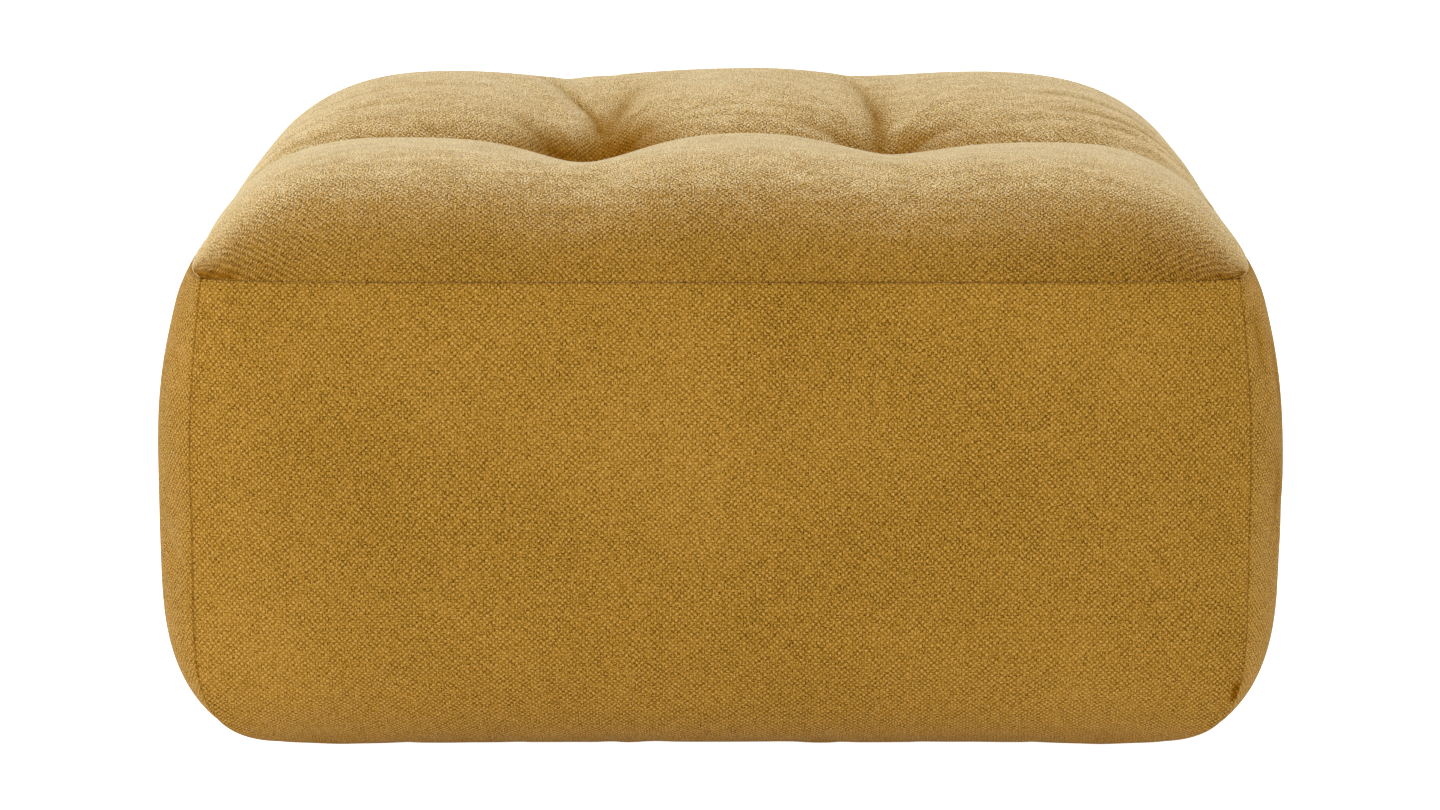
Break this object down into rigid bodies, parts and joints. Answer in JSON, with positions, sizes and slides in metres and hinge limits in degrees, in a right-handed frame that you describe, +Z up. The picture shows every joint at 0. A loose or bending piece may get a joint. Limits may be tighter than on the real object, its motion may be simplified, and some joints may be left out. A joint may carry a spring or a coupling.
{
  "type": "upholstered pouf",
  "caption": "Low rectangular floor pouf in woven chenille, with a soft tufted top of pillows, bulging filled sides and a flat base to stand on.",
  "frame": {"origin": "middle of the base, on the floor", "axes": "+X along the width, from left to right as seen from the front; +Y from the front to the back; +Z up"},
  "size_m": [0.855, 0.662, 0.4616],
  "materials": {
    "chenille_top": "soft ochre chenille, plain weave, pale sheen where it turns away",
    "chenille_side": "soft ochre chenille, plain weave",
    "base_cloth": "plain ochre lining weave, matt"
  },
  "bodies": {
    "root": {"top_panel": "chenille_top", "front_panel": "chenille_side", "back_panel": "chenille_side", "left_panel": "chenille_side", "right_panel": "chenille_side", "base_panel": "base_cloth"}
  },
  "joints": []
}
